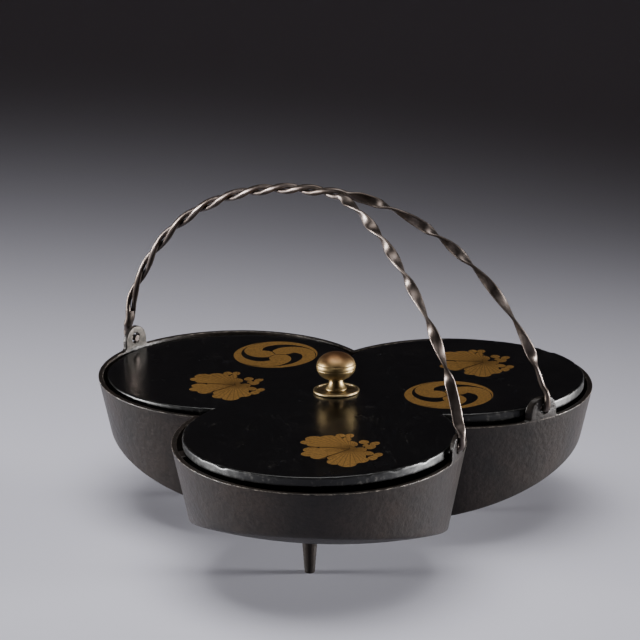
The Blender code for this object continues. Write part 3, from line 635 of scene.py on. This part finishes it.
def lacquer(name, ornament):
    """Urushi lacquer over wood: black, glossy, hazed by fine scratches in patches of 17 mm, with grey specks
    of dust 0.6 to 1 mm across, and with one kind of gold ornament, whose powder is a warm, half-dull metal
    that mottles every 1 mm."""
    material, tree = new_material(name)
    at = add_node(tree, "TexCoord").outputs["Object"]
    gold, veins = ornament(tree, add_node(tree, "UVMap", {"uv_map": "ornament"}))
    dust = add_node(tree, "TexVoronoi", None, {"Vector": at, "Scale": 480.0})
    chosen = add_node(tree, "TexNoise", None, {"Vector": at, "Scale": 90.0, "Detail": 4.0})
    speck = add_node(tree, "MapRange", None, {"Value": dust, "From Min": 0.27, "From Max": 0.15})
    often = add_node(tree, "MapRange", None,
                     {"Value": chosen, "From Min": 0.5, "From Max": 0.72, "To Max": 0.9})
    speck = add_node(tree, "Math", "MULTIPLY", {0: speck, 1: often})
    powder = add_node(tree, "TexNoise", None, {"Vector": at, "Scale": 900.0, "Detail": 4.0})
    leaf = add_node(tree, "ValToRGB", None, {"Fac": powder}, ((0.3, "#946d38"), (0.62, "#c99a55")))
    leaf = add_node(tree, "Mix", {"data_type": "RGBA"}, {0: veins, 6: leaf, 7: linear("#3f2a10")})
    ground = add_node(tree, "Mix", {"data_type": "RGBA"},
                      {0: speck, 6: linear("#060606"), 7: linear("#56534e")})
    painted = add_node(tree, "Mix", {"data_type": "RGBA"},
                       {0: gold, 6: ground.outputs[2], 7: leaf.outputs[2]})
    haze = add_node(tree, "TexNoise", None, {"Vector": at, "Scale": 60.0, "Detail": 6.0})
    smooth = add_node(tree, "MapRange", None,
                      {"Value": haze, "From Min": 0.3, "From Max": 0.7, "To Min": 0.19, "To Max": 0.28})
    smooth = add_node(tree, "Mix", None, {0: gold, 2: smooth, 3: 0.42})
    metal = add_node(tree, "Math", "MULTIPLY", {0: gold, 1: 0.75})
    shader = add_node(tree, "BsdfPrincipled", None,
                      {"Base Color": painted.outputs[2], "Metallic": metal, "Roughness": smooth.outputs[0],
                       "Specular IOR Level": 0.38})
    add_node(tree, "OutputMaterial", None, {"Surface": shader})
    return material


lid.data.materials.append(lacquer("black_lacquer_gold_sprays", leaf_spray))
lid.data.materials.append(lacquer("black_lacquer_gold_roundels", three_commas))

# The board's edge: the same lacquer rubbed dull, and worn to its grey ground in spots of 1 to 3 mm.
edge, tree = new_material("worn_lacquer_edge")
at = add_node(tree, "TexCoord").outputs["Object"]
wear = add_node(tree, "TexNoise", None, {"Vector": at, "Scale": 330.0, "Detail": 6.0, "Roughness": 0.7})
colour = add_node(tree, "ValToRGB", None, {"Fac": wear}, ((0.56, "#070707"), (0.78, "#5f5c58")))
gloss = add_node(tree, "MapRange", None, {"Value": wear, "From Min": 0.3, "From Max": 0.7,
                                          "To Min": 0.28, "To Max": 0.5})
bump = add_node(tree, "Bump", None, {"Strength": 0.4, "Distance": 0.0001, "Height": wear})
shader = add_node(tree, "BsdfPrincipled", None,
                  {"Base Color": colour, "Specular IOR Level": 0.42, "Roughness": gloss, "Normal": bump})
add_node(tree, "OutputMaterial", None, {"Surface": shader})
lid.data.materials.append(edge)
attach(lid, "root")
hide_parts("lid")

# Knob and rose. The rose is a thin brass disc with a dished middle and a rolled rim. The knob is
# a flattened ball turned from brass rod, with a band between two fine grooves at its girth.
KNOB_RADIUS = 11.65
KNOB_HALF_HEIGHT = 8.6
KNOB_NECK_RADIUS = 4.1
KNOB_FOOT_RADIUS = 6.3
KNOB_CENTRE_HEIGHT = 14.3
KNOB_LIP = 0.8
KNOB_FOOT_EDGE = 0.15
KNOB_GROOVES = (-0.9, 1.9)
GROOVE_SIZE = 0.22
KNOB_CROWN = (101.5, 107.5)
ROSE_RADIUS = 13.6
ROSE_THICKNESS = 1.3
ROSE_DISH = 0.6
ROSE_ROLL = 0.055
ROSE_ROLL_HEIGHT = 0.45
ROSE_EDGE = 0.2
CONTACT_GAP = 0.3
base = LID_THICKNESS / 2 + CONTACT_GAP
rose_top = base + ROSE_THICKNESS
dish = rose_top - ROSE_DISH
a = np.linspace(0, np.pi, 12)
rolled = np.column_stack([ROSE_RADIUS * (1 - ROSE_ROLL + ROSE_ROLL * np.cos(a)),
                          rose_top - ROSE_ROLL_HEIGHT + ROSE_ROLL_HEIGHT * np.sin(a)])
under = [(0.0, base), (ROSE_RADIUS - ROSE_EDGE, base), (ROSE_RADIUS, base + ROSE_EDGE)]
dished = [(ROSE_RADIUS * 0.87, dish), (ROSE_RADIUS * 0.5, dish), (0.0, dish)]
rose = build("knob_rose_disc", [lid_place(turned(np.vstack([under, rolled, dished]), 96))])
rose.data.set_sharp_from_angle(angle=math.radians(40))
foot = dish + CONTACT_GAP
middle = foot + KNOB_CENTRE_HEIGHT
ball_end = math.pi - math.asin(KNOB_NECK_RADIUS / KNOB_RADIUS)
a = np.linspace(ball_end, 0, 90)
ball = np.column_stack([KNOB_RADIUS * np.sin(a), middle + KNOB_HALF_HEIGHT * np.cos(a)])
for groove in KNOB_GROOVES:
    ball[:, 0] -= GROOVE_SIZE * np.exp(-((ball[:, 1] - middle - groove) / GROOVE_SIZE) ** 2)
neck_top = ball[0, 1]
t = np.linspace(1, 0, 16)[:-1]
flare = np.column_stack([KNOB_NECK_RADIUS + (KNOB_FOOT_RADIUS - KNOB_NECK_RADIUS) * t ** 2,
                         neck_top + (foot + KNOB_LIP - neck_top) * t])
under = [(0.0, foot), (KNOB_FOOT_RADIUS - KNOB_FOOT_EDGE, foot), (KNOB_FOOT_RADIUS, foot + KNOB_FOOT_EDGE)]
knob_profile = np.vstack([under, flare, ball])
knob_profile[-1, 0] = 0.0
knob = build("knob_turned", [lid_place(turned(knob_profile, 128))])
knob.data.set_sharp_from_angle(angle=math.radians(50))

# Turned brass, handled for years: dull warm metal with fine rings from the lathe, stained in
# patches of 8 mm and reddened on the crown.
brass, tree = new_material("aged_turned_brass")
at = add_node(tree, "TexCoord").outputs["Object"]
height = add_node(tree, "SeparateXYZ", None, {0: at}).outputs["Z"]
rings = add_node(tree, "TexNoise", {"noise_dimensions": "1D"}, {"W": height, "Scale": 2600.0, "Detail": 2.0})
stain = add_node(tree, "TexNoise", None, {"Vector": at, "Scale": 130.0, "Detail": 5.0})
crown = add_node(tree, "MapRange", None, {"Value": height, "From Min": KNOB_CROWN[0] / 1000,
                                          "From Max": KNOB_CROWN[1] / 1000})
redden = add_node(tree, "Math", "MULTIPLY", {0: crown, 1: 0.75})
colour = add_node(tree, "ValToRGB", None, {"Fac": stain}, ((0.35, "#635237"), (0.65, "#8a7753")))
warm = add_node(tree, "Mix", {"data_type": "RGBA"}, {0: redden, 6: colour, 7: linear("#7a5238")})
gloss = add_node(tree, "MapRange", None, {"Value": stain, "From Min": 0.3, "From Max": 0.7,
                                          "To Min": 0.36, "To Max": 0.5})
bump = add_node(tree, "Bump", None, {"Strength": 0.25, "Distance": 0.00003, "Height": rings})
shader = add_node(tree, "BsdfPrincipled", None,
                  {"Base Color": warm.outputs[2], "Metallic": 1.0, "Roughness": gloss, "Normal": bump})
add_node(tree, "OutputMaterial", None, {"Surface": shader})
knob.data.materials.append(brass)

# The rose is brass of the same kind, mottled by stains of 4 mm.
dark_brass, tree = new_material("darkened_brass")
at = add_node(tree, "TexCoord").outputs["Object"]
stain = add_node(tree, "TexNoise", None, {"Vector": at, "Scale": 260.0, "Detail": 5.0})
colour = add_node(tree, "ValToRGB", None, {"Fac": stain}, ((0.35, "#75654a"), (0.7, "#b5a07a")))
shader = add_node(tree, "BsdfPrincipled", None, {"Base Color": colour, "Metallic": 1.0, "Roughness": 0.42})
add_node(tree, "OutputMaterial", None, {"Surface": shader})
rose.data.materials.append(dark_brass)
for piece, node in ((knob, "knob"), (rose, "knob_rose")):
    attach(piece, "root")
    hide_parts(node)

# Handle. Two bars of iron forged together at the single ear, roped round each other up to the
# crown, then parting into two flat bars twisted on the way to their own ears. Each end is a
# round hook that goes through its ear from outside. Hand-forged, so the twist is uneven.
ARCH_RISE = 124.3
ARCH_POWER = 2.1
LEG_POWER = 1.7
LEG_BOW = 0.10
STRAND_WIDTH = 3.8
STRAND_THICKNESS = 3.1
STRAND_GAP = 0.4
ROPE_HALF_TURN_AT_CROWN = 17.0
ROPE_HALF_TURN_AT_EAR = 29.0
SPLIT_BEYOND_CROWN = 5.4
BAR_WIDTH = 6.1
BAR_THICKNESS = 1.9
TWIST_MARKS = {-1: ((0, 180), (5, 145), (20, 51), (34, -40), (45.5, -130), (58.5, -220), (73.5, -310),
                    (84.5, -400), (103.5, -489), (116.5, -579), (134, -669), (144, -758), (190, -790)),
               1: ((0, 0), (17, -25), (26, -117), (49.5, -211), (58.5, -302), (73.5, -394), (84.5, -485),
                   (103.5, -576), (123.5, -667), (145.5, -757), (154, -847), (190, -880))}
PARTING_LENGTH = 60.0
FLAT_START = 9.0
FLAT_END = {-1: (11.0, 20.0), 1: (20.0, 38.0)}
ROD_END = (8.0, 16.0)
ROUND_POWER = 2.1
FLAT_POWER = 3.5
BAR_SIDES = 28
PATH_STEP = 0.5
ROPE_BULGE = 1.9
ROPE_BULGE_RISE = 31.0
ROPE_BULGE_SPREAD = 13.0
WELD_RISE = 19.5
WELD_SWELL = 0.6
WELD_POWER = 2.3
ROD_RADIUS = 1.9
HOOK_BULGE = 2.6
HOOK_TAIL = 1.6
HOOK_CLEARANCE = 0.4
EAR_SET_IN = 0.4
HOOK_STAND = LOBE_RADIUS - EAR_SET_IN + HOOK_CLEARANCE + ROD_RADIUS


def quarter(reach, rise, power):
    """Quarter of a superellipse from the crown to the foot: reach cos(a)^(2/n) out, rise sin(a)^(2/n) up."""
    a = np.linspace(np.pi / 2, 0, 900)
    return np.column_stack([reach * np.cos(a) ** (2 / power), rise * np.sin(a) ** (2 / power)])


def distances(points):
    """Distance along a path from its start to each of its points."""
    return np.concatenate([[0], np.cumsum(np.linalg.norm(np.diff(points, axis=0), axis=1))])


def evenly(points):
    """The same path with a point at every step along it."""
    length = distances(points)
    at = np.linspace(0, length[-1], max(2, round(length[-1] / PATH_STEP) + 1))
    return np.column_stack([np.interp(at, length, points[:, k]) for k in range(3)])


def eased(points, window):
    """The same path with its corners rounded by a running average over the window, its ends kept."""
    path = evenly(points)
    reach = int(window / PATH_STEP / 2)
    kernel = np.hanning(2 * reach + 3)[1:-1]
    kernel /= kernel.sum()
    padded = np.vstack([2 * path[0] - path[reach:0:-1], path, 2 * path[-1] - path[-2:-reach - 2:-1]])
    return np.column_stack([np.convolve(padded[:, k], kernel, "valid") for k in range(3)])


def directions(path):
    """Outward and side directions square to the path; the side stays near -Y."""
    along = np.gradient(path, axis=0)
    along /= np.linalg.norm(along, axis=1)[:, None]
    side = np.array([0.0, -1.0, 0.0]) + along * along[:, 1:2]
    side /= np.linalg.norm(side, axis=1)[:, None]
    return np.cross(side, along), side


def twisted(outward, side, turn):
    """Both directions turned about the path: cos t out + sin t side, and cos t side - sin t out."""
    turn = np.broadcast_to(turn, len(outward))[:, None]
    return np.cos(turn) * outward + np.sin(turn) * side, np.cos(turn) * side - np.sin(turn) * outward


def hook(lobe, degrees, bulge):
    """Rod's end at one ear: down outside it, round the bend and in through the hole."""
    centre, outward = polar(LOBE_OFFSET, lobe), polar(1.0, degrees)
    inside = LOBE_RADIUS - WALL + EAR_SET_IN - HOOK_TAIL
    return np.array([centre + outward * reach + [0, 0, HOLE_HEIGHT + rise]
                     for reach, rise in ((HOOK_STAND + bulge * 0.2, 10.0), (HOOK_STAND + bulge, 3.5),
                                         (HOOK_STAND + bulge, 0.0), (LOBE_RADIUS + ROD_RADIUS, 0.0),
                                         (inside, 0.0))])


def rope_line():
    """Middle of the roped half, from the crown down to the single ear, where it bulges a little."""
    curve = quarter(LOBE_OFFSET + HOOK_STAND, ARCH_RISE, ARCH_POWER)
    bulge = ROPE_BULGE * np.exp(-((curve[:, 1] - ROPE_BULGE_RISE) / ROPE_BULGE_SPREAD) ** 2)
    return np.column_stack([-curve[:, 0] - bulge, np.zeros(len(curve)), RIM + curve[:, 1]])


def rope_turn(back, whole):
    """Turn of the rope at a distance b back from the parting. Its rate falls evenly from the crown to the
    ear over the whole rope, so the turn is fast b - (fast - slow) b^2 / (2 whole), less a quarter."""
    fast, slow = np.pi / ROPE_HALF_TURN_AT_CROWN, np.pi / ROPE_HALF_TURN_AT_EAR
    return -np.pi / 2 + fast * back - (fast - slow) / (2 * whole) * back ** 2


def leg_line(sign):
    """Middle of one leg from the crown to its ear; it parts from its twin on the way."""
    end = hook(60.0 * sign, -PAIR_EAR_ANGLE * sign, 0.0)
    reach, side = end[0][0], abs(end[0][1])
    curve = quarter(reach, ARCH_RISE, LEG_POWER)
    share = curve[:, 0] / reach
    spread = share ** 2 / (share + 0.05) * 1.05 + LEG_BOW * np.sin(np.pi * share)
    points = np.column_stack([curve[:, 0], sign * side * spread, RIM + curve[:, 1]])
    return np.vstack([points[points[:, 2] > HOLE_HEIGHT + 14.0], end])


def strand(sign):
    """One bar from the weld over the crown to its ear. In the rope it winds round the middle, and its offset
    from the middle fades out after the bars part. Beyond the parting its own twist runs through marks of
    (millimetres, degrees), as uneven as it was forged."""
    rope = rope_line()
    rope = rope[rope[:, 2] > RIM + WELD_RISE][::-1]
    path = eased(np.vstack([rope, leg_line(sign)[1:]]), 8.0)
    length = distances(path)
    low = path[:, 2] < RIM + 0.8 * ARCH_RISE
    split = length[np.argmin(np.abs(path[:, 0] - SPLIT_BEYOND_CROWN) + 1000 * low)]
    back, ahead = np.maximum(split - length, 0), np.maximum(length - split, 0)
    theta = rope_turn(back, split) + (0 if sign > 0 else np.pi)
    twist = np.radians(np.interp(ahead, *np.array(TWIST_MARKS[sign], float).T))
    kernel = np.hanning(21) / np.hanning(21).sum()
    twist = np.convolve(np.pad(twist, 10, "edge"), kernel, "valid")
    outward, side = directions(path)
    offset = (STRAND_THICKNESS + STRAND_GAP) / 2 * (1 - ramp(ahead, 0, PARTING_LENGTH))
    path = path + (offset * np.cos(theta))[:, None] * outward + (offset * np.sin(theta))[:, None] * side
    left = length[-1] - length
    flat = ramp(ahead, 0, FLAT_START) * ramp(left, *FLAT_END[sign])
    tip = ramp(left, *ROD_END)
    rod = 2 * ROD_RADIUS
    width = rod + (STRAND_WIDTH + (BAR_WIDTH - STRAND_WIDTH) * flat - rod) * tip
    depth = rod + (STRAND_THICKNESS + (BAR_THICKNESS - STRAND_THICKNESS) * flat - rod) * tip
    wide, thin = twisted(outward, side, np.where(ahead > 0, twist, theta + np.pi / 2))
    power = ROUND_POWER + (FLAT_POWER - ROUND_POWER) * flat
    return bar_grid(path, wide, thin, width, depth, power, BAR_SIDES)


def weld():
    """Joined end of both bars: up from the hook, swelling to hold them where the rope begins."""
    rope = rope_line()
    upper = rope[(rope[:, 2] > HOLE_HEIGHT + 12) & (rope[:, 2] < RIM + WELD_RISE + 4)]
    path = evenly(eased(np.vstack([upper, hook(180.0, 180.0, HOOK_BULGE)]), 5.0))
    swell = ramp(path[:, 2], HOLE_HEIGHT + 4, RIM + WELD_RISE - 5)
    rod = 2 * ROD_RADIUS
    width = rod + (2 * STRAND_THICKNESS + STRAND_GAP + WELD_SWELL - rod) * swell
    depth = rod + (STRAND_WIDTH + WELD_SWELL - rod) * swell
    length = distances(rope[rope[:, 2] > RIM + WELD_RISE])[-1] + SPLIT_BEYOND_CROWN
    wide, thin = twisted(*directions(path), rope_turn(length, length))
    return bar_grid(path, wide, thin, width, depth, WELD_POWER, BAR_SIDES)


handle = build("handle_twisted_bars", [strand(1), strand(-1), weld()])
press_in(handle)
handle.data.set_sharp_from_angle(angle=math.radians(60))

# Wrought iron, hammered, twisted hot and rubbed by hands: dark grey metal, smoother than the
# casting, with brown oxide in patches 14 mm across and shallow hammer unevenness of 4 mm.
wrought, tree = new_material("rubbed_wrought_iron")
at = add_node(tree, "TexCoord").outputs["Object"]
oxide = add_node(tree, "TexNoise", None, {"Vector": at, "Scale": 70.0, "Detail": 4.0})
colour = add_node(tree, "ValToRGB", None, {"Fac": oxide}, ((0.38, "#48403b"), (0.62, "#5a524e")))
grain = add_node(tree, "TexNoise", None, {"Vector": at, "Scale": 500.0, "Detail": 5.0})
hammer = add_node(tree, "TexNoise", None, {"Vector": at, "Scale": 240.0, "Detail": 1.0})
gloss = add_node(tree, "MapRange", None, {"Value": grain, "From Min": 0.3, "From Max": 0.7,
                                          "To Min": 0.32, "To Max": 0.46})
relief = add_node(tree, "Math", "MULTIPLY_ADD", {0: grain, 1: 0.15, 2: hammer})
bump = add_node(tree, "Bump", None, {"Strength": 0.2, "Distance": 0.00016, "Height": relief})
shader = add_node(tree, "BsdfPrincipled", None,
                  {"Base Color": colour, "Metallic": 1.0, "Roughness": gloss, "Normal": bump})
add_node(tree, "OutputMaterial", None, {"Surface": shader})
handle.data.materials.append(wrought)
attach(handle, "root")
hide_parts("handle")

# Studio. A pale sweep on which the vessel stands, one soft lamp each side and one above, two low
# strips for the edge of the lid, and a camera at the photograph's height and distance.
SWEEP_FRONT = -3.0
SWEEP_BACK = 2.2
SWEEP_BEND = 1.2
SWEEP_TOP = 4.0
SWEEP_HALF_WIDTH = 4.0
CAMERA_RIGHT = (0.7944, 0.6074)
LEVEL_ROWS = 30
sweep_mesh = bpy.data.meshes.new("floor")
t = np.linspace(0, 1, 40)
run = np.concatenate([np.linspace(SWEEP_FRONT, SWEEP_BACK, LEVEL_ROWS),
                      SWEEP_BACK + SWEEP_BEND * np.sin(t * np.pi / 2), [SWEEP_BACK + SWEEP_BEND]])
rise = np.concatenate([np.zeros(LEVEL_ROWS), SWEEP_BEND * (1 - np.cos(t * np.pi / 2)), [SWEEP_TOP]])
away = np.array([-0.5934, 0.8049])
across = np.array([0.8049, 0.5934])
grid = [(*(away * r + across * w), z) for r, z in zip(run, rise)
        for w in (-SWEEP_HALF_WIDTH, SWEEP_HALF_WIDTH)]
faces = [(2 * i, 2 * i + 1, 2 * i + 3, 2 * i + 2) for i in range(len(run) - 1)]
sweep_mesh.from_pydata(grid, [], faces)
sweep_mesh.shade_smooth()
floor = bpy.data.objects.new("floor", sweep_mesh)
bpy.context.scene.collection.objects.link(floor)
# Matt paper, white with a cool cast.
paper, tree = new_material("studio_paper")
shader = add_node(tree, "BsdfPrincipled", None, {"Base Color": linear("#cccbd7"), "Roughness": 0.9})
add_node(tree, "OutputMaterial", None, {"Surface": shader})
sweep_mesh.materials.append(paper)

# A faint even light from the room.
world = bpy.data.worlds.new("studio")
bpy.context.scene.world = world
world.use_nodes = True
background = world.node_tree.nodes["Background"]
background.inputs["Color"].default_value = linear("#736c6a")
background.inputs["Strength"].default_value = 0.22


def soft_lamp(name, place, target, size, power, spread, lit):
    """Rectangular soft lamp; its place and target are given across and away as the camera sees them, and up.
    It lights only the given things, as a lamp with flags beside it does."""
    lamp = bpy.data.lights.new(name, "AREA")
    lamp.shape = "RECTANGLE"
    lamp.size, lamp.size_y = size
    lamp.energy = power
    lamp.spread = math.radians(spread)
    obj = bpy.data.objects.new(name, lamp)
    bpy.context.scene.collection.objects.link(obj)
    right, up = CAMERA_RIGHT
    ends = [Vector((x * right - y * up, x * up + y * right, z)) for x, y, z in (place, target)]
    obj.location = ends[0]
    obj.rotation_euler = (ends[1] - ends[0]).to_track_quat("-Z", "Y").to_euler()
    flagged = bpy.data.collections.new("lit_by_" + name)
    for thing in lit:
        flagged.objects.link(thing)
    obj.light_linking.receiver_collection = flagged


# The side lamps are flagged off the lacquer, which would mirror them; two low strips light its edge.
around = (vessel, rose, knob, handle, floor)
soft_lamp("lamp_top", (0.0, -0.2, 1.2), (0.0, -0.2, 0.0), (1.6, 0.75), 4.7, 72, (*around, lid))
soft_lamp("lamp_left", (-2.0, 0.0, 0.34), (0.0, -0.02, 0.36), (0.7, 0.8), 9.2, 25, around)
soft_lamp("lamp_right", (2.0, 0.0, 0.34), (0.0, -0.02, 0.36), (0.7, 0.8), 12.2, 25, around)
soft_lamp("strip_left", (-1.0, 0.0, 0.035), (0.0, -0.02, 0.06), (0.5, 0.06), 2.0, 46, (lid,))
soft_lamp("strip_right", (1.0, 0.0, 0.035), (0.0, -0.02, 0.06), (0.5, 0.06), 2.9, 46, (lid,))

camera_data = bpy.data.cameras.new("camera")
camera_data.lens = 150.9
camera_data.sensor_width = 36.0
camera = bpy.data.objects.new("camera", camera_data)
bpy.context.scene.collection.objects.link(camera)
camera.location = (0.9261, -1.1985, 0.6029)
camera.rotation_euler = Vector((-0.5791, 0.7574, -0.3014)).to_track_quat("-Z", "Y").to_euler()
bpy.context.scene.camera = camera
